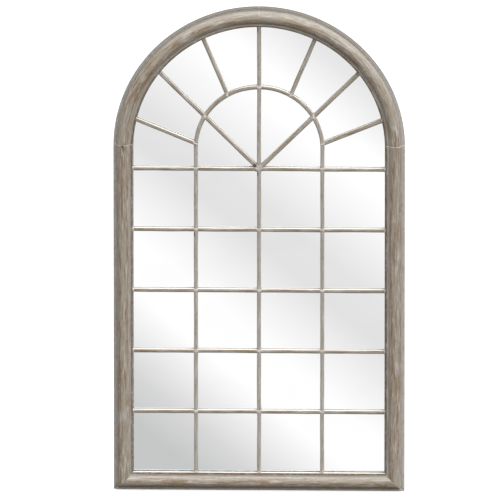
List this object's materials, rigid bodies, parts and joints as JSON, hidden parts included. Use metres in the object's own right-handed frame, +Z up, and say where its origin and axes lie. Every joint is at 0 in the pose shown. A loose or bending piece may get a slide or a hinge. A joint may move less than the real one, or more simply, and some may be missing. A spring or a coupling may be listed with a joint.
{
  "type": "arched window mirror",
  "caption": "Tall wall mirror with a half-round head, moulded wooden frame and a glazing-bar grille with a fan over one sheet of glass; hanging rings on the back.",
  "frame": {"origin": "bottom centre of the frame's flat back, which lies against the wall side", "axes": "+Z up towards the crown of the arch, +Y out of the back towards the wall, so the mirror faces -Y; +X is to a viewer's right"},
  "size_m": [0.87, 0.048, 1.5],
  "materials": {
    "limewashed_wood": "lime-washed and rubbed back, matt",
    "silvered_glass": "polished float glass, silvered behind",
    "hardboard": "smooth pressed fibreboard",
    "beech": "plain turned dowel",
    "zinc_plated_steel": "bright zinc plate",
    "yellow_zinc_screw": "yellow passivated zinc plate",
    "black_rubber": "moulded, matt"
  },
  "bodies": {
    "mirror": {"bar_cross_1": "limewashed_wood", "bar_cross_2": "limewashed_wood", "bar_cross_3": "limewashed_wood", "bar_cross_4": "limewashed_wood", "bar_cross_5": "limewashed_wood", "bar_upright_left": "limewashed_wood", "bar_upright_centre": "limewashed_wood", "bar_upright_right": "limewashed_wood", "fan_ring": "limewashed_wood", "ray_diagonal_left": "limewashed_wood", "ray_diagonal_right": "limewashed_wood", "ray_high_left": "limewashed_wood", "ray_high_right": "limewashed_wood", "ray_low_left": "limewashed_wood", "ray_low_right": "limewashed_wood", "arch_left": "limewashed_wood", "arch_right": "limewashed_wood", "stile_left": "limewashed_wood", "stile_right": "limewashed_wood", "bottom_rail": "limewashed_wood", "mirror_glass": "silvered_glass", "backing_board": "hardboard", "joint_dowels": "beech", "glazier_points": "zinc_plated_steel", "corner_plate_left": "zinc_plated_steel", "corner_plate_right": "zinc_plated_steel", "seam_plate_left": "zinc_plated_steel", "seam_plate_right": "zinc_plated_steel", "crown_plate": "zinc_plated_steel", "plate_screws": "yellow_zinc_screw", "hanger_screws": "yellow_zinc_screw", "hanger_strap_left": "zinc_plated_steel", "hanger_strap_right": "zinc_plated_steel", "wall_bumpers": "black_rubber", "glass_setting_pads": "black_rubber"},
    "ring_left": {"hanger_ring_left": "zinc_plated_steel"},
    "ring_right": {"hanger_ring_right": "zinc_plated_steel"}
  },
  "joints": [
    {"name": "ring_left_swing", "type": "hinge", "parent": "mirror", "child": "ring_left", "pos_m": [-0.41, 0.0038, 1], "axis": [1, 0, 0], "range_deg": [0, 180]},
    {"name": "ring_right_swing", "type": "hinge", "parent": "mirror", "child": "ring_right", "pos_m": [0.41, 0.0038, 1], "axis": [1, 0, 0], "range_deg": [0, 180]}
  ]
}
